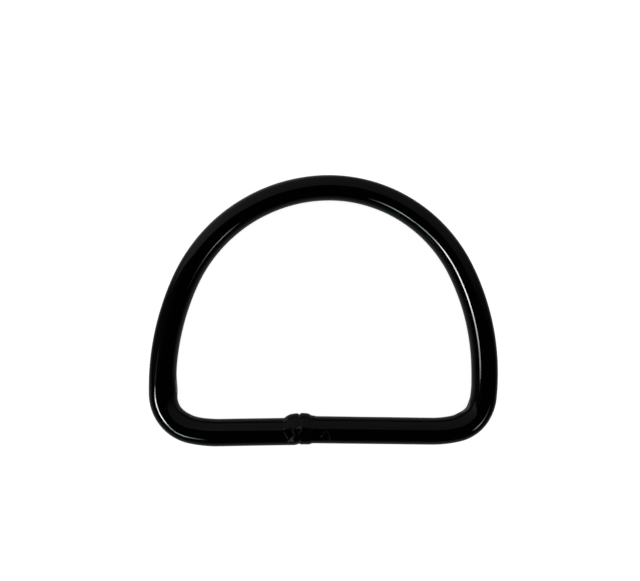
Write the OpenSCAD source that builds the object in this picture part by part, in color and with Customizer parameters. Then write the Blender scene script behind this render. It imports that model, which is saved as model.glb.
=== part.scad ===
// A D ring bent from one length of round steel wire. The two wire ends are butt welded in the straight
// bar and the whole ring is coated gloss black. It lies flat: the ring's plane is X-Y, the bar is at -Y,
// the crown of the bow at +Y, and the underside of the wire rests on Z = 0. All lengths are in millimetres.

/* [Ring] */
// Diameter of the wire, coating included
wire_d = 4.6; // [3:0.1:6]
// Clear width inside the ring where the bow is widest
inside_w = 51.4; // [42:0.1:65]
// Clear height inside the ring, from the bar's left half at the weld to the crown
inside_h = 38.5; // [34:0.1:50]

/* [Bow] */
// How far the top of the crown stands to the right of the middle
crown_shift = 0.95; // [-2:0.05:2]
// Radius of the crown's arc, as a share of that side's half width
crown_share = 0.95; // [0.85:0.01:0.98]
// Radius of the arc below it, as a share of that side's half width
side_share = 1.46; // [1.3:0.01:1.7]

/* [Corners] */
// Bend radius of the left corner, at the middle of the wire
left_corner_r = 6.6; // [5:0.1:9]
// Bend radius of the right corner, at the middle of the wire
right_corner_r = 6.3; // [5:0.1:9]
// Radius of the easy bend that leads from a corner into the bar
lead_r = 20; // [12:0.5:30]
// How far that easy bend turns, in degrees
lead_turn = 13; // [5:0.5:20]

/* [Bar] */
// How much each half of the bar rises towards the weld, in degrees
bar_rise = 0.8; // [0:0.05:2]
// How far the right wire end stands inside the left one at the weld
end_step = 0.3; // [0:0.02:0.8]
// How far each wire end runs past the middle of the weld
end_lap = 0.15; // [0.1:0.05:0.5]

/* [Weld] */
// How far the weld is to the left of the ring's middle
weld_offset = 4.45; // [-8:0.05:8]
// How much thicker the weld's lumps are than the wire
weld_swell = 0.75; // [0.5:0.05:1.4]
// Distance between the middles of the two lumps
weld_spread = 1.35; // [0.8:0.05:2]
// How far the lumps stand in towards the inside of the ring
weld_in = 0.4; // [0:0.05:0.5]
// How far the lumps stand up
weld_up = 0.2; // [0.1:0.05:0.4]
// Height of the lumps' flat underside above the underside of the wire
weld_clear = 0.05; // [0.02:0.01:0.1]
// Radius of the groove that runs round the seam between the lumps
seam_r = 0.3; // [0.2:0.02:0.45]

/* [Hidden] */
$fn = 96;
wire_r = wire_d / 2;
weld_d = wire_d + weld_swell;

// Middle line of the wire, drawn from the crown, which is at X = 0, and from the bar at the weld, Y = 0
crown_y = inside_h + wire_d;
left_half_w = (inside_w + wire_d) / 2 + crown_shift;
right_half_w = (inside_w + wire_d) / 2 - crown_shift;
middle_x = (right_half_w - left_half_w) / 2;
weld_x = middle_x - weld_offset;

// Unit vector at an angle, and the directions along the bar, away from the weld, and square to it
function ray(angle) = [cos(angle), sin(angle)];
bar_way = ray(-bar_rise);
bar_up = ray(90 - bar_rise);
bar_angle = -90 - bar_rise;
lead_angle = bar_angle + lead_turn;

// Centre and radius of each arc of one half, going down from the crown: crown, side, corner, lead.
// end is the point where the middle line of that half's bar meets the weld.
function crown_r(half_w) = crown_share * half_w;
function side_r(half_w) = side_share * half_w;
function crown_centre(half_w) = [0, crown_y - crown_r(half_w)];
function side_centre(half_w) =
    let (gap = side_r(half_w) - crown_r(half_w), across = side_r(half_w) - half_w)
    crown_centre(half_w) - [across, sqrt(gap * gap - across * across)];
function corner_centre(half_w, corner_r, end) =
    let (height = lead_r - (lead_r - corner_r) * cos(lead_turn),
         base = end + height * bar_up,
         from_side = base - side_centre(half_w),
         along = from_side * bar_way,
         reach = side_r(half_w) - corner_r)
    base + (sqrt(along * along - from_side * from_side + reach * reach) - along) * bar_way;
function lead_centre(half_w, corner_r, end) =
    corner_centre(half_w, corner_r, end) - (lead_r - corner_r) * ray(lead_angle);

// Angle at which one point sees another
function sight(from, to) = atan2(to[1] - from[1], to[0] - from[0]);

// Ends of the bar's two halves at the weld, the left one seen in a mirror
left_end = [-weld_x, 0];
right_end = [weld_x, end_step];

// Where two bends meet, a collar a hair wider than the wire covers the gap that their ends keep, so that
// they join in one solid
joint_gap = 0.02;
collar_l = 0.1;
collar_proud = 0.01;

// Height of the wire's middle line, with the collars on the resting plane
wire_z = wire_r + collar_proud;

// Lowest Y of the middle line on each side, and the Y that stands the ring's box over the origin
left_low = lead_centre(left_half_w, left_corner_r, left_end)[1] - lead_r;
right_low = lead_centre(right_half_w, right_corner_r, right_end)[1] - lead_r;
middle_y = (min(left_low, right_low) + crown_y) / 2;

// An arc of wire round a centre, between two angles, a little short at both ends
module bend(centre, radius, low, high) {
    short = joint_gap / 2 / radius * 180 / PI;
    translate([centre[0], centre[1], wire_z])
        rotate([0, 0, low + short])
            rotate_extrude(angle = high - low - 2 * short)
                translate([radius, 0])
                    circle(r = wire_r);
}

// A straight length of wire from a point, along an angle, a little short at its start
module straight(start, angle, length) {
    translate([start[0], start[1], wire_z])
        rotate([0, 0, angle])
            rotate([0, 90, 0])
                translate([0, 0, joint_gap / 2])
                    cylinder(r = wire_r, h = length - joint_gap / 2);
}

// The collar over a joint, at a point on a circle round a centre
module collar(centre, radius, angle) {
    point = centre + radius * ray(angle);
    translate([point[0], point[1], wire_z])
        rotate([0, 0, angle])
            rotate([90, 0, 0])
                cylinder(r = wire_r + collar_proud, h = collar_l, center = true);
}

// The right half of the ring: crown, side, corner, lead and bar
module half(half_w, corner_r, end) {
    crown_c = crown_centre(half_w);
    side_c = side_centre(half_w);
    corner_c = corner_centre(half_w, corner_r, end);
    lead_c = lead_centre(half_w, corner_r, end);
    foot = lead_c - lead_r * bar_up;
    join_angle = sight(side_c, crown_c);
    corner_angle = sight(side_c, corner_c);
    bend(crown_c, crown_r(half_w), join_angle, 90);
    bend(side_c, side_r(half_w), corner_angle, join_angle);
    bend(corner_c, corner_r, lead_angle, corner_angle);
    bend(lead_c, lead_r, bar_angle, lead_angle);
    straight(foot, 180 - bar_rise, norm(foot - end) + end_lap);
    collar(side_c, side_r(half_w), join_angle);
    collar(corner_c, corner_r, corner_angle);
    collar(lead_c, lead_r, lead_angle);
    collar(lead_c, lead_r, bar_angle);
}

// The two lumps that the butt weld pushed up, flattened below so that the ring lies flat
module lumps() {
    difference() {
        for (side = [-1, 1])
            translate([side * weld_spread / 2, 0, 0])
                sphere(d = weld_d);
        translate([-weld_d, -weld_d, weld_clear - wire_r - weld_up - weld_d])
            cube([2 * weld_d, 2 * weld_d, weld_d]);
    }
}

// The groove round the seam, where the two wire ends met
module seam() {
    rotate([0, 90, 0])
        rotate_extrude()
            translate([weld_d / 2, 0])
                circle(r = seam_r);
}

module d_ring() {
    color([0.07, 0.08, 0.08])
        translate([-middle_x, -middle_y, 0])
            difference() {
                union() {
                    half(right_half_w, right_corner_r, right_end);
                    mirror([1, 0, 0])
                        half(left_half_w, left_corner_r, left_end);
                    collar([0, 0], crown_y, 90);
                    translate([weld_x, weld_in, wire_z + weld_up])
                        lumps();
                }
                translate([weld_x, weld_in, wire_z + weld_up])
                    seam();
            }
}

d_ring();
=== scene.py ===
from math import atan2, ceil, cos, degrees, exp, pi, radians, sin, sqrt

import bmesh
import bpy
from mathutils import Matrix, Vector, noise


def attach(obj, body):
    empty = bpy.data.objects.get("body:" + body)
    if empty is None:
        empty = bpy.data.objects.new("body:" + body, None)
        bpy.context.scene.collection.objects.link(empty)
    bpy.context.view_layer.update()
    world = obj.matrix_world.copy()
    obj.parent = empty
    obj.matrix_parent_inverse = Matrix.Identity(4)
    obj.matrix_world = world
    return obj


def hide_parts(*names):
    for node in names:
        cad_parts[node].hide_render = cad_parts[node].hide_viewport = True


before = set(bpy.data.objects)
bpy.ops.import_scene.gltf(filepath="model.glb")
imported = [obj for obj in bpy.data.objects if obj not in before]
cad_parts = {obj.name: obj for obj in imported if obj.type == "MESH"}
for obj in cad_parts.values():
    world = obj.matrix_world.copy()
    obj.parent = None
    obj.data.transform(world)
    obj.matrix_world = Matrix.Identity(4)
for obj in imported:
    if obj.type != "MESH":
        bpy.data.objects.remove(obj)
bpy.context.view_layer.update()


# The ring: one length of round steel wire, bent cold round a former into a D. Its two ends are butt
# welded in the straight bar, and the whole is coated gloss black. The mesh is made in millimetres, in a
# draft frame with the crown at X = 0 and the weld at Y = 0, then moved to the part's own frame. These are the
# solid's own driving sizes, and wire_z is the height of the wire's middle line.
mm = 0.001
wire_r = 2.3
wire_z = 2.31
inside_w = 51.4
inside_h = 38.5
crown_shift = 0.95
crown_share = 0.95
side_share = 1.46
left_corner_r = 6.6
right_corner_r = 6.3
lead_r = 20.0
lead_turn = 13.0
bar_rise = 0.8
end_step = 0.3
weld_offset = 4.45

crown_y = inside_h + 2 * wire_r
left_half_w = (inside_w + 2 * wire_r) / 2 + crown_shift
right_half_w = (inside_w + 2 * wire_r) / 2 - crown_shift
middle_x = -crown_shift
weld_x = middle_x - weld_offset

# How finely the mesh is cut: points round the wire, the longest step along a corner and along the rest, and
# the length on each side of the weld that is bridged from end to end, with its number of cuts
round_segments = 128
corner_gap = 0.16
open_gap = 0.32
weld_zone = 5.5
weld_cuts = 160


def ray(angle):
    """Unit vector at an angle, in degrees."""
    return Vector((cos(radians(angle)), sin(radians(angle))))


def sight(start, goal):
    """Angle at which one point sees another."""
    return degrees(atan2(goal.y - start.y, goal.x - start.x))


def half_arcs(half_w, corner_r, end):
    """Centre, radius, start angle and end angle of each bend of one half, from the crown down, and the foot
    where the last bend meets the bar."""
    crown_r, side_r = crown_share * half_w, side_share * half_w
    crown_c = Vector((0, crown_y - crown_r))
    across = side_r - half_w
    side_c = crown_c - Vector((across, sqrt((side_r - crown_r) ** 2 - across ** 2)))
    height = lead_r - (lead_r - corner_r) * cos(radians(lead_turn))
    base = end + height * ray(90 - bar_rise)
    from_side = base - side_c
    along = from_side.dot(ray(-bar_rise))
    reach = side_r - corner_r
    run = sqrt(along ** 2 - from_side.dot(from_side) + reach ** 2) - along
    corner_c = base + run * ray(-bar_rise)
    bar_angle = -90 - bar_rise
    lead_angle = bar_angle + lead_turn
    lead_c = corner_c - (lead_r - corner_r) * ray(lead_angle)
    join, corner = sight(side_c, crown_c), sight(side_c, corner_c)
    bends = [
        (crown_c, crown_r, 90, join),
        (side_c, side_r, join, corner),
        (corner_c, corner_r, corner, lead_angle),
        (lead_c, lead_r, lead_angle, bar_angle),
    ]
    return bends, lead_c - lead_r * ray(90 - bar_rise)


# Each point of the mesh keeps its place along the wire, in mm from the weld and negative to the left, and
# its turn round the wire in degrees: 0 on the ring's inside, 90 on top, 180 on the outside. dull says how
# much of the weld's dull skin it shows, and the layer after it how much painted glint it carries: grey,
# half-metallic coating laid along ridges and weld marks to stand in for the highlights they catch.
ring = bmesh.new()
place = ring.verts.layers.float.new("place")
turn = ring.verts.layers.float.new("turn")
dull = ring.verts.layers.float.new("dull")
glint_line = ring.verts.layers.float.new("glint_line")
bmesh.ops.create_circle(
    ring, segments=round_segments, radius=wire_r, cap_ends=False,
    matrix=Matrix.Translation((0, crown_y, wire_z)) @ Matrix.Rotation(pi / 2, 4, "Y"))
crown_loop, crown_verts = list(ring.edges), list(ring.verts)


def sweep(loop, steps, centre=(0, 0), angle=0, shift=(0, 0)):
    """Carry a loop of edges round a centre, or on by a shift for each step. Gives the last loop and the new
    points."""
    known = len(ring.verts)
    made = bmesh.ops.spin(ring, geom=loop, cent=(*centre, 0), axis=(0, 0, 1), angle=angle,
                          dvec=(*shift, 0), steps=steps)
    ring.verts.ensure_lookup_table()
    last = [part for part in made["geom_last"] if isinstance(part, bmesh.types.BMEdge)]
    return last, ring.verts[known:]


# The two halves: side, half width, corner radius, and the end of the wire at the weld. Both are worked out as
# right halves, and side turns the left one over.
halves = [
    (1, right_half_w, right_corner_r, Vector((weld_x, end_step))),
    (-1, left_half_w, left_corner_r, Vector((-weld_x, 0))),
]
weld_ends = []
lowest = []
for side, half_w, corner_r, end in halves:
    bends, foot = half_arcs(half_w, corner_r, end)
    lowest.append(bends[-1][0].y - lead_r)
    bar_run = (end - foot).length
    to_weld = bar_run + sum(radians(start - stop) * radius for _, radius, start, stop in bends)
    for vert in crown_verts:
        vert[place] = to_weld
        vert[turn] = degrees(atan2(vert.co.z - wire_z, crown_y - vert.co.y))
    loop = crown_loop
    for centre, radius, start, stop in bends:
        arc_run = radians(start - stop) * radius
        steps = ceil(arc_run / (corner_gap if radius == corner_r else open_gap))
        loop, added = sweep(loop, steps, centre=(side * centre.x, centre.y),
                            angle=side * radians(stop - start))
        for vert in added:
            offset = Vector((side * vert.co.x - centre.x, vert.co.y - centre.y))
            vert[place] = side * (to_weld - (radians(start) - atan2(offset.y, offset.x)) * radius)
            vert[turn] = degrees(atan2(vert.co.z - wire_z, radius - offset.length))
        to_weld -= arc_run
    way = ray(180 - bar_rise)
    run = bar_run - weld_zone
    steps = ceil(run / open_gap)
    loop, added = sweep(loop, steps, shift=(side * way.x * run / steps, way.y * run / steps))
    weld_ends.append(loop)
    for vert in added:
        offset = Vector((side * vert.co.x, vert.co.y)) - end
        vert[place] = -side * offset.dot(way)
        vert[turn] = degrees(atan2(vert.co.z - wire_z, offset.dot(ray(90 - bar_rise))))
middle_y = (min(lowest) + crown_y) / 2

# The bridge over the weld. Two of its faces share each long edge, so the dict keeps each edge once, in order.
bridge = bmesh.ops.bridge_loops(ring, edges=weld_ends[0] + weld_ends[1])
end_edges = set(weld_ends[0] + weld_ends[1])
along_weld = [edge for face in bridge["faces"] for edge in face.edges if edge not in end_edges]
bmesh.ops.subdivide_edges(ring, edges=list(dict.fromkeys(along_weld)), cuts=weld_cuts, use_grid_fill=True)
bmesh.ops.remove_doubles(ring, verts=ring.verts, dist=1e-5)
bmesh.ops.recalc_face_normals(ring, faces=ring.faces)
ring.normal_update()

# The flash that the weld squeezed out: its height over the wire at places along it, on the ring's inside and
# on its outside. The powers say how closely it keeps to the inside and to the outside.
inner_flash = {
    -2.8: 0, -2.6: 0.06, -2.3: 0.3, -2.0: 0.46, -1.7: 0.59, -1.4: 0.66, -0.95: 0.72, -0.47: 0.7,
    -0.28: 0.65, -0.1: 0.58, 0.15: 0.59, 0.9: 0.49, 1.25: 0.48, 1.4: 0.44, 1.7: 0.3, 1.95: 0.15,
    2.1: 0.12, 2.4: 0.11, 2.7: 0,
}
outer_flash = {
    -0.8: 0, -0.4: -0.02, -0.25: -0.02, -0.1: 0, 0.05: 0.09, 0.15: 0.13, 0.5: 0.17, 0.9: 0.2,
    1.56: 0.2, 1.99: 0.04, 2.2: 0,
}
inner_power = 5
outer_power = 8

# The seam between the wire ends, a small V in the flash: its place, half width and depth all round, how much
# deeper it is on the ring's inside and outside, and the power that says how closely it keeps to those
seam_at = -0.1
seam_half = 0.3
seam_depth = 0.006
seam_inside = 0.2
seam_outside = 0.06
seam_power = 4

# Swellings and dents that the bending left: place, turn, half length, half angle, height
swells = [
    (28.7, 0, 1.2, 40, 0.08), (31.5, 0, 1.1, 40, -0.13), (36, 0, 2.2, 40, -0.1),
    (31.5, 105, 2.4, 25, -0.07), (32.6, 150, 1.9, 45, -0.05),
    (-27.4, 0, 2.0, 40, 0.22), (-23.2, 0, 1.0, 40, -0.05), (-19.9, 0, 1.5, 40, 0.08),
    (-22.6, 22, 0.9, 14, -0.04), (-15.5, 8, 1.2, 20, 0.02),
    (-38, 122, 5, 28, -0.1), (-32.7, 122, 2.5, 28, -0.06), (-26.7, 108, 2.8, 35, 0.14),
    (-27.6, 112, 1.1, 30, 0.03), (-21.5, 108, 1.5, 30, 0.05),
]
swell_reach = 3  # half lengths

# Sways of the bow off its true arcs: middle place, half length, how far outwards
sways = [(-66.7, 9, -0.05), (-47.2, 5, 0.06)]

# Small ridges and runs of the coating, each with a painted glint along it (grey, half-metallic coating that
# stands in for the highlight it catches): half width, height, how strong the painted glint is, then the
# (place, turn) points of its line. Each ends well within the reach of its first point.
marks = [
    (0.11, 0.010, 0.5, [(-2.66, 88), (-2.4, 103), (-2.1, 114)]),
    (0.10, 0.012, 0.4, [(-1.3, 79), (-1.1, 95), (-0.88, 102)]),
    (0.12, 0.016, 0.35, [(-0.55, 76), (-0.35, 73), (-0.1, 73), (0.15, 79), (0.15, 86), (0.0, 91),
                         (-0.26, 95)]),
    (0.10, 0.010, 0.5, [(-2.78, 76)]),
    (0.14, 0.020, 0.6, [(-1.95, 131), (-1.7, 124), (-1.4, 117), (-1.15, 109)]),
    (0.17, 0.035, 1.0, [(-1.29, 126)]),
    (0.12, 0.008, 0.25, [(-0.05, 129), (0.03, 134)]),
    (0.10, 0.008, 0.12, [(2.0, 78), (1.8, 87)]),
    (0.13, 0.015, 1.0, [(3.59, 114)]),
    (0.08, 0.004, 0.3, [(3.77, 107), (4.0, 97), (4.25, 93), (4.5, 92), (4.75, 97), (4.95, 115),
                        (5.05, 133)]),
    (0.16, 0.006, 0.25, [(-2.75, 40), (-2.5, 30), (-2.2, 34)]),
    (0.15, 0.035, 1.0, [(-19.25, 22)]),
    (0.11, 0.050, 0.75, [(33.03, 13), (32.1, 19), (31.17, 22), (29.97, 20), (29.12, 4)]),
    (0.16, 0.045, 1.0, [(-28.9, 13), (-27.2, 14)]),
]
mark_reach = 5


def bell(gap, half):
    """1 in the middle, falling smoothly to about a third at the half width."""
    return exp(-(gap / half) ** 2)


def ease(value, low, high):
    """0 at low, 1 at high and smooth between them."""
    share = min(max((value - low) / (high - low), 0), 1)
    return share * share * (3 - 2 * share)


def height_at(heights, at):
    """The height at a place, on straight lines between the places of a table."""
    places = list(heights)
    if not places[0] < at < places[-1]:
        return 0
    low = max(known for known in places if known <= at)
    high = places[places.index(low) + 1]
    return heights[low] + (at - low) / (high - low) * (heights[high] - heights[low])


def flash_height(at, angle):
    """Height of the flash over the wire: most on the inside and outside of the ring, little on top."""
    facing = cos(radians(angle))
    inside = ((1 + facing) / 2) ** inner_power
    outside = ((1 - facing) / 2) ** outer_power
    depth = (seam_depth + seam_inside * max(facing, 0) ** seam_power
             + seam_outside * max(-facing, 0) ** seam_power)
    seam = depth * max(1 - abs(at - seam_at) / seam_half, 0)
    return inside * height_at(inner_flash, at) + outside * height_at(outer_flash, at) - seam


def off_line(at, angle, line):
    """Distance over the surface, in mm, from a place and turn to the nearest point of a mark's line."""
    spot = Vector((at, radians(angle) * wire_r))
    points = [Vector((x, radians(a) * wire_r)) for x, a in line]
    nearest = min((spot - point).length for point in points)
    for a, b in zip(points, points[1:]):
        share = min(max((spot - a).dot(b - a) / (b - a).length_squared, 0), 1)
        nearest = min(nearest, (spot - a - share * (b - a)).length)
    return nearest


# The slow waver of the whole surface: height, the lengths of its two waves, and the share of the short one.
# It only takes away from the wire, so that the ring keeps within its size.
waver_height = 0.009
long_wave = 5
short_wave = 2
short_share = 0.4

# The weld's rough skin: how far from the weld it ends and where it is full, the heights of its lumps and
# pimples and how many come to a mm, and how dull it is all round and how much more on the ring's inside
rough_end = 2.8
rough_full = 1.8
lump_height = 0.014
lumps_per_mm = 1.1
pimple_height = 0.005
pimples_per_mm = 3
dull_round = 0.25
dull_inside = 0.6

# How far the flash strays along the wire, how many strays come to a mm, which layer of the noise they are
# taken from, and the turns, from the ring's inside, at which they start and are full
stray_length = 0.12
strays_per_mm = 1.2
stray_layer = 3
stray_from = 15
stray_full = 50

# The bridge runs straight between the two wire ends. Its points are moved so that each half rises as it did,
# up to the seam, and the left end passes to the right one within this length on each side of it.
step_half = 1
bar_climb = sin(radians(bar_rise))

# Each point moves out from the wire by its height, and none comes below the underside
underside = 0.012
for vert in ring.verts:
    at, angle = vert[place], vert[turn]
    waver = noise.noise(vert.co / long_wave) + short_share * noise.noise(vert.co / short_wave)
    height = waver_height * (waver - (1 + short_share))
    if abs(at) < weld_zone:
        straight = end_step * (at + weld_zone) / (2 * weld_zone) - weld_zone * bar_climb
        bent = end_step * ease(at, seam_at - step_half, seam_at + step_half) - abs(at) * bar_climb
        vert.co.y += bent - straight
        rough = ease(abs(at), rough_end, rough_full)
        stray_point = Vector((at, radians(angle) * wire_r, stray_layer)) * strays_per_mm
        stray = stray_length * noise.noise(stray_point) * ease(abs(angle), stray_from, stray_full)
        height += flash_height(at + stray, angle)
        height += rough * (lump_height * noise.noise(vert.co * lumps_per_mm)
                           + pimple_height * noise.noise(vert.co * pimples_per_mm))
        vert[dull] = rough * (dull_round + dull_inside * max(cos(radians(angle)), 0) ** 2)
    for middle, middle_turn, half, half_turn, rise in swells:
        if abs(at - middle) < swell_reach * half:
            height += rise * bell(at - middle, half) * bell(angle - middle_turn, half_turn)
    for middle, half, shift in sways:
        height -= shift * bell(at - middle, half) * cos(radians(angle))
    # Each mark raises a ridge and carries a painted glint for the coating to show
    for half, rise, glint_level, line in marks:
        if abs(at - line[0][0]) < mark_reach:
            nearness = bell(off_line(at, angle, line), half)
            height += rise * nearness
            vert[glint_line] = max(vert[glint_line], glint_level * nearness)
    vert.co += height * vert.normal
    vert.co.z = max(vert.co.z, underside)

bmesh.ops.translate(ring, vec=(-middle_x, -middle_y, 0), verts=ring.verts)
bmesh.ops.scale(ring, vec=(mm, mm, mm), verts=ring.verts)
for face in ring.faces:
    face.smooth = True


def finished(name, shape):
    """A mesh object made of a bmesh, in the scene."""
    mesh = bpy.data.meshes.new(name)
    shape.to_mesh(mesh)
    shape.free()
    piece = bpy.data.objects.new(name, mesh)
    bpy.context.scene.collection.objects.link(piece)
    return piece


welded_ring = finished("welded_ring", ring)


def feed(socket, value):
    """Give a socket a number, a colour or another node's output."""
    if isinstance(value, bpy.types.NodeSocket):
        socket.id_data.links.new(value, socket)
    else:
        socket.default_value = value


def add_node(tree, kind, inputs=None, **settings):
    """A new shader node with its settings made and its inputs fed."""
    node = tree.nodes.new("ShaderNode" + kind)
    for name, value in settings.items():
        setattr(node, name, value)
    for name, value in (inputs or {}).items():
        feed(node.inputs[name], value)
    return node


def combine(tree, kind, *values):
    """A sum or comparison of its values, each a number or another node's output."""
    sums = add_node(tree, "Math", operation=kind)
    for socket, value in zip(sums.inputs, values):
        feed(socket, value)
    return sums.outputs[0]


def spread(tree, value, low, high, out_low, out_high):
    """A value from low to high, spread smoothly from out_low to out_high."""
    limits = {"From Min": low, "From Max": high, "To Min": out_low, "To Max": out_high}
    ranged = add_node(tree, "MapRange", {"Value": value, **limits}, interpolation_type="SMOOTHSTEP")
    return ranged.outputs["Result"]


def new_material(name):
    """A new material and its node tree."""
    material = bpy.data.materials.new(name)
    material.use_nodes = True
    return material, material.node_tree


# The coating: gloss black, with a slight orange peel, a smear of unevenness in its gloss and dust caught in
# it here and there. Over the weld it is duller, and along the marks it is painted grey and half metallic: a
# painted glint that stands in for the highlights the marks catch.
black = (0.0024, 0.0026, 0.0025, 1)
dust_grey = (0.02, 0.02, 0.018, 1)
# The grey of the painted glints along the marks
glint_grey = (0.6, 0.6, 0.57, 1)

# Relief, in mm: the peel, the fine grain of the clean coating, and what the weld's dull skin adds to it
peel_per_metre = 1500
peel_height = 0.0028
fine_per_metre = 5500
fine_height = 0.0002
dull_fine_height = 0.003

# The smear: the stretch of its noise that counts, the roughness at both ends, and how much it greys the black
smear_per_metre = 260
smear_low, smear_high = 0.3, 0.7
smear_least, smear_most = 0.02, 0.05
smear_tint = 0.06

# The dull skin and the painted glints: the roughness that each adds, how the fine grain breaks up the skin's,
# how fast a glint turns the black to its painted grey, and how metallic it is
dull_roughness = 0.5
grain_low, grain_high = 0.38, 0.52
grain_least = 0.55
glint_roughness = 0.35
glint_grey_rate = 4
glint_metal = 0.8

# One cell of dust in ten holds a speck. It is flat on top, then falls off to its edge, in shares of a cell.
dust_per_metre = 300
speck_above = 0.9
speck_top = 0.01
speck_edge = 0.045
speck_height = 0.01
speck_roughness = 0.2

coating, tree = new_material("gloss_black_coating")
gloss = tree.nodes["Principled BSDF"]
on_ring = add_node(tree, "TexCoord").outputs["Object"]
dulled = add_node(tree, "Attribute", attribute_name="dull").outputs["Fac"]
glint_mask = add_node(tree, "Attribute", attribute_name="glint_line").outputs["Fac"]
peel = add_node(tree, "TexNoise", {"Vector": on_ring, "Scale": peel_per_metre, "Detail": 1}).outputs["Fac"]
fine = add_node(tree, "TexNoise", {"Vector": on_ring, "Scale": fine_per_metre, "Detail": 1}).outputs["Fac"]
smear = add_node(tree, "TexNoise", {"Vector": on_ring, "Scale": smear_per_metre, "Detail": 3}).outputs["Fac"]
dust = add_node(tree, "TexVoronoi", {"Vector": on_ring, "Scale": dust_per_metre})
cell = add_node(tree, "SeparateColor", {"Color": dust.outputs["Color"]})
chosen = combine(tree, "GREATER_THAN", cell.outputs["Red"], speck_above)
dot = spread(tree, dust.outputs["Distance"], speck_top, speck_edge, 1, 0)
speck = combine(tree, "MULTIPLY", dot, chosen)

grain = combine(tree, "MULTIPLY_ADD", dulled, dull_fine_height, fine_height)
relief = combine(tree, "MULTIPLY", fine, grain)
relief = combine(tree, "MULTIPLY_ADD", speck, speck_height, relief)
relief = combine(tree, "MULTIPLY_ADD", peel, peel_height, relief)
bump = add_node(tree, "Bump", {"Height": relief, "Distance": mm})
feed(gloss.inputs["Normal"], bump.outputs["Normal"])

dull_grain = combine(tree, "MULTIPLY", dulled, spread(tree, fine, grain_low, grain_high, grain_least, 1))
roughness = combine(tree, "MULTIPLY", glint_mask, glint_roughness)
roughness = combine(tree, "MULTIPLY_ADD", speck, speck_roughness, roughness)
roughness = combine(tree, "MULTIPLY_ADD", dull_grain, dull_roughness, roughness)
clean = spread(tree, smear, smear_low, smear_high, smear_least, smear_most)
feed(gloss.inputs["Roughness"], combine(tree, "ADD", clean, roughness))

dusted = combine(tree, "MULTIPLY_ADD", smear, smear_tint, speck)
tone = add_node(tree, "Mix", {"Factor": dusted, "A": black, "B": dust_grey}, data_type="RGBA")
# Painted glints: along the marks the black turns grey, rougher and half metallic, standing in for highlights
glint_grey_share = combine(tree, "MULTIPLY", glint_mask, glint_grey_rate)
tone = add_node(tree, "Mix", {"Factor": glint_grey_share, "A": tone.outputs["Result"], "B": glint_grey}, data_type="RGBA")
feed(gloss.inputs["Base Color"], tone.outputs["Result"])
feed(gloss.inputs["Metallic"], combine(tree, "MULTIPLY", glint_mask, glint_metal))
welded_ring.data.materials.append(coating)
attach(welded_ring, "root")
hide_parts("d_ring")


# The floor: a plain white sheet of card under the ring. The camera sees it bright. In the gloss of the
# coating it is dim, and a little lighter outside the bow, as the ground round the ring was.
floor_size = 30.0
card_white = (0.8, 0.8, 0.8, 1)
card_glow = (0.86, 0.86, 0.86, 1)
room_tint = (0.95, 1.04, 0.94)

# Its light in the gloss, seen straight on and at a grazing angle, and what comes to it outside the ring: from
# where to where that grows, in metres from the middle, and how much, by degrees from +X
straight_light = 0.28
grazing_light = 0.02
outside_start = 0.02
outside_full = 0.032
outside_light = {0: 0.0, 30: 0.03, 50: 0.06, 85: 0.07, 95: 0.15, 105: 0.18, 146: 0.15, 156: 0.05, 170: 0.0}


def ramp(tree, position, stops):
    """Brightness on straight lines between stops, which are (position, brightness) pairs."""
    graded = add_node(tree, "ValToRGB", {"Fac": position})
    elements = graded.color_ramp.elements
    while len(elements) < len(stops):
        elements.new(0.5)
    for element, (spot, level) in zip(elements, stops):
        element.position = spot
        element.color = (level, level, level, 1)
    return graded.outputs["Color"]


def by_direction(tree, spot, levels):
    """Brightness by the direction of a spot from the middle. levels has it for some angles, from +X."""
    circle = add_node(tree, "TexGradient", {"Vector": spot}, gradient_type="RADIAL")
    return ramp(tree, circle.outputs["Fac"], [(0.5 + angle / 360, level) for angle, level in levels.items()])


def camera_apart(tree, in_camera, in_gloss):
    """One shader for the camera's own view, and another for what the coating mirrors."""
    path = add_node(tree, "LightPath")
    pick = add_node(tree, "MixShader", {"Fac": path.outputs["Is Camera Ray"], 1: in_gloss, 2: in_camera})
    return pick.outputs[0]


floor_shape = bmesh.new()
bmesh.ops.create_grid(floor_shape, x_segments=1, y_segments=1, size=floor_size / 2)
floor = finished("floor", floor_shape)
white_card, tree = new_material("white_card")
card_face = tree.nodes["Principled BSDF"]
card_face.inputs["Base Color"].default_value = card_white
card_face.inputs["Roughness"].default_value = 0.9
card_face.inputs["Specular IOR Level"].default_value = 0.0
on_floor = add_node(tree, "TexCoord").outputs["Object"]
from_middle = add_node(tree, "VectorMath", {0: on_floor}, operation="LENGTH").outputs["Value"]
outside = spread(tree, from_middle, outside_start, outside_full, 0, 1)
slant = add_node(tree, "LayerWeight", {"Blend": 0.5}).outputs["Facing"]
by_slant = add_node(tree, "MapRange", {"Value": slant, "To Min": straight_light, "To Max": grazing_light})
dim_light = combine(tree, "MULTIPLY_ADD", by_direction(tree, on_floor, outside_light), outside,
                    by_slant.outputs["Result"])
dim_face = add_node(tree, "Emission", {"Color": (*room_tint, 1), "Strength": dim_light})
lit_face = add_node(tree, "Emission", {"Color": card_glow})
bright_face = add_node(tree, "AddShader", {0: lit_face.outputs[0], 1: card_face.outputs[0]})
feed(tree.nodes["Material Output"].inputs["Surface"],
     camera_apart(tree, bright_face.outputs[0], dim_face.outputs[0]))
floor.data.materials.append(white_card)


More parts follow.
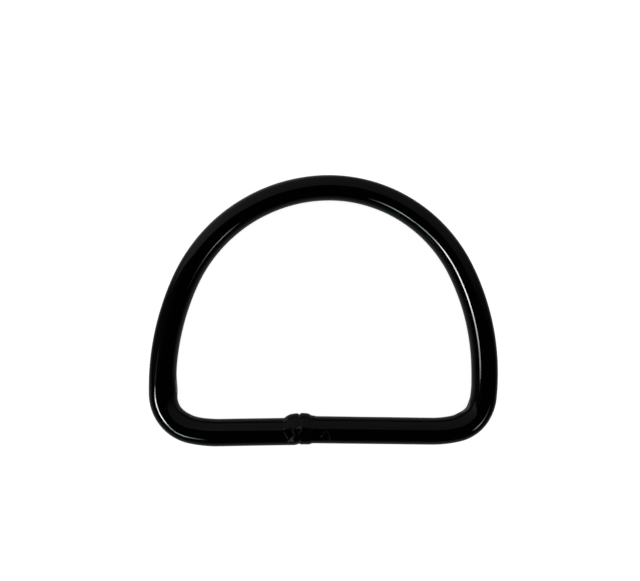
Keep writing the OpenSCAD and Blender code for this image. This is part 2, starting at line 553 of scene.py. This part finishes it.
# The soft light over the floor: a broad softbox, hung 1.5 m up, that lights the white card alone. The ring's
# gloss doesn't show it.
wash_light = bpy.data.lights.new("floor_wash", "AREA")
wash_light.shape = "SQUARE"
wash_light.size = 3.0
wash_light.energy = 18.0
floor_wash = bpy.data.objects.new("floor_wash", wash_light)
floor_wash.location = (0, 0, 1.5)
floor_wash.visible_glossy = False
floor_wash.visible_camera = False
bpy.context.scene.collection.objects.link(floor_wash)
floor_only = bpy.data.collections.new("floor_only")
floor_only.objects.link(floor)
floor_wash.light_linking.receiver_collection = floor_only


# The studio lights: four strips at one height over the ring, made of glowing card, that show only in its
# gloss. Each runs from one direction to another, given as x/z and y/z, and its brightness changes on the way.
light_height = 0.6


def shine(card, glow, brightness, colour):
    """Let a card glow in a colour, and show only in gloss."""
    tree = glow.node_tree
    light = add_node(tree, "Emission", {"Color": (*colour, 1), "Strength": brightness})
    feed(tree.nodes["Material Output"].inputs["Surface"], light.outputs[0])
    tree.nodes.remove(tree.nodes["Principled BSDF"])
    card.data.materials.append(glow)
    card.visible_camera = False
    card.visible_diffuse = False
    card.visible_shadow = False
    card.visible_transmission = False


def light_card(name, corners, stops, colour, strength):
    """A four-cornered glowing card. corners has the start and end of one long side, then of the other, and
    stops has pairs of a share of that length and a brightness."""
    sheet = bmesh.new()
    bmesh.ops.create_grid(sheet, x_segments=1, y_segments=1, size=0.5)
    uv = sheet.loops.layers.uv.new("UVMap")
    for face in sheet.faces:
        for loop in face.loops:
            loop[uv].uv = (loop.vert.co.x + 0.5, loop.vert.co.y + 0.5)
    for vert in sheet.verts:
        vert.co = Vector(corners[(vert.co.x > 0) + 2 * (vert.co.y > 0)])
    card = finished(name, sheet)
    glow, tree = new_material(name + "_glow")
    along = add_node(tree, "SeparateXYZ", {"Vector": add_node(tree, "TexCoord").outputs["UV"]})
    shine(card, glow, combine(tree, "MULTIPLY", ramp(tree, along.outputs["X"], stops), strength), colour)


def strip(name, start, stop, width, stops, colour, strength):
    """A strip light from one direction to another. It is turned to face the ring."""
    a = Vector((*start, 1)) * light_height
    b = Vector((*stop, 1)) * light_height
    across = (b - a).normalized().cross(((a + b) / 2).normalized()).normalized() * width / 2
    light_card(name, [a - across, b - across, a + across, b + across], stops, colour, strength)


strip("left_strip", start=(-1.31, 0.2), stop=(-1.35, -1.27), width=0.19,
      stops=[(0.0, 0.0), (0.02, 0.003), (0.054, 0.011), (0.075, 0.026), (0.088, 0.095), (0.136, 0.26),
             (0.184, 0.25), (0.238, 0.42), (0.279, 0.46), (0.333, 0.64), (0.381, 0.9), (0.429, 0.93),
             (0.476, 0.96), (0.544, 0.85), (0.599, 0.79), (0.694, 1.0), (0.782, 0.83), (0.891, 0.42),
             (1.0, 0.22)],
      colour=(0.96, 0.98, 1.0), strength=26.0)
strip("corner_strip", start=(-1.35, -1.27), stop=(-1.43, -1.86), width=0.19,
      stops=[(0.0, 1.0), (1.0, 1.0)],
      colour=(0.75, 1.0, 0.96), strength=6.4)
strip("front_strip", start=(-1.5, -1.98), stop=(-0.4, -1.86), width=0.2,
      stops=[(0.0, 0.7), (0.35, 0.92), (0.5, 0.93), (0.68, 0.55), (0.85, 0.2), (0.95, 0.04), (1.0, 0.0)],
      colour=(0.76, 1.0, 0.95), strength=9.0)
strip("right_light", start=(1.66, -0.5), stop=(1.6, -1.66), width=0.15,
      stops=[(0.0, 0.01), (0.2, 0.1), (0.35, 0.3), (0.5, 0.7), (0.62, 0.9), (0.75, 0.75), (0.87, 0.35),
             (1.0, 0.0)],
      colour=(0.92, 1.0, 0.96), strength=6.0)


# The side glow: the faint light of the room to the left of the ring, as one more card. It stands a little
# above the lights, so that the back wall's edge covers its own.
glow_height = 0.61
glow_corners = [(-0.4, 0.03, 1), (-12.0, 0.6, 1), (-0.4, 0.31, 1), (-12.0, 6.1, 1)]
light_card("side_glow", [glow_height * Vector(corner) for corner in glow_corners],
           stops=[(0.0, 0.0), (0.015, 0.45), (0.11, 0.48), (0.2, 0.8), (0.55, 1.0), (1.0, 1.0)],
           colour=room_tint, strength=0.05)


# The back wall: the pale far side of the room, which the bow mirrors in its outer half and the bar in its
# inner one. It is a level sheet at the lights' height that starts just behind the ring, and it is brightest
# at the back left. Its light is given by degrees from +X.
wall_edge = [(-12.0, 4.37), (-1.6, 0.64), (-1.05, 0.6), (-0.387, 0.305), (-0.2, 0.25), (-0.09, 0.19),
             (0.0, 0.11), (0.1, 0.105), (0.4, 0.13), (12.0, 1.6), (12.0, 12.0), (-12.0, 12.0)]
wall_light = {0: 0.012, 10: 0.025, 17: 0.037, 25: 0.07, 33: 0.1, 44: 0.112, 64: 0.12, 84: 0.127, 92: 0.14,
              103: 0.152, 113: 0.168, 124: 0.193, 135: 0.255, 144: 0.27, 150: 0.275, 152: 0.26, 154.5: 0.18,
              157: 0.095, 160: 0.05}
wall_shape = bmesh.new()
wall_shape.faces.new([wall_shape.verts.new((x, y, light_height)) for x, y in wall_edge])
back_wall = finished("back_wall", wall_shape)
wall_glow, tree = new_material("wall_glow")
on_wall = add_node(tree, "TexCoord").outputs["Object"]
shine(back_wall, wall_glow, by_direction(tree, on_wall, wall_light), room_tint)


# The rest of the room, past the floor's edge and between the lights. The camera sees it pale, and in the
# gloss of the ring it is nearly black.
room_pale = (0.8, 0.8, 0.8, 1)
room_dark = (0.007, 0.007, 0.007, 1)
world = bpy.data.worlds.new("studio")
world.use_nodes = True
bpy.context.scene.world = world
tree = world.node_tree
pale = tree.nodes["Background"]
pale.inputs["Color"].default_value = room_pale
dark = add_node(tree, "Background", {"Color": room_dark})
feed(tree.nodes["World Output"].inputs["Surface"], camera_apart(tree, pale.outputs[0], dark.outputs[0]))


# The camera: a 35 mm lens, 11 cm from the ring and almost straight above it, a little to the bar's side. It
# stands where the photo was taken from.
camera_tilt = radians(7.594)
camera_pan = radians(-2.964)
camera_roll = radians(0.568)
camera_distance = 0.10994
camera_aim = mm * Vector((-1.078, 2.898, 2.31))
right = Vector((1, 0, 0))
up = Vector((0, cos(camera_tilt), sin(camera_tilt)))
back = Vector((0, -sin(camera_tilt), cos(camera_tilt)))
right, back = (cos(camera_pan) * right - sin(camera_pan) * back,
               sin(camera_pan) * right + cos(camera_pan) * back)
right, up = (cos(camera_roll) * right + sin(camera_roll) * up,
             -sin(camera_roll) * right + cos(camera_roll) * up)
lens = bpy.data.cameras.new("photo_camera")
lens.lens = 35
lens.sensor_width = 36
lens.sensor_fit = "HORIZONTAL"
lens.clip_start = 0.01
lens.clip_end = 100
photo_camera = bpy.data.objects.new("photo_camera", lens)
eye = camera_aim + camera_distance * back
photo_camera.matrix_world = Matrix((
    (right.x, up.x, back.x, eye.x), (right.y, up.y, back.y, eye.y),
    (right.z, up.z, back.z, eye.z), (0, 0, 0, 1)))
bpy.context.scene.collection.objects.link(photo_camera)
bpy.context.scene.camera = photo_camera
bpy.context.scene.view_settings.view_transform = "Standard"
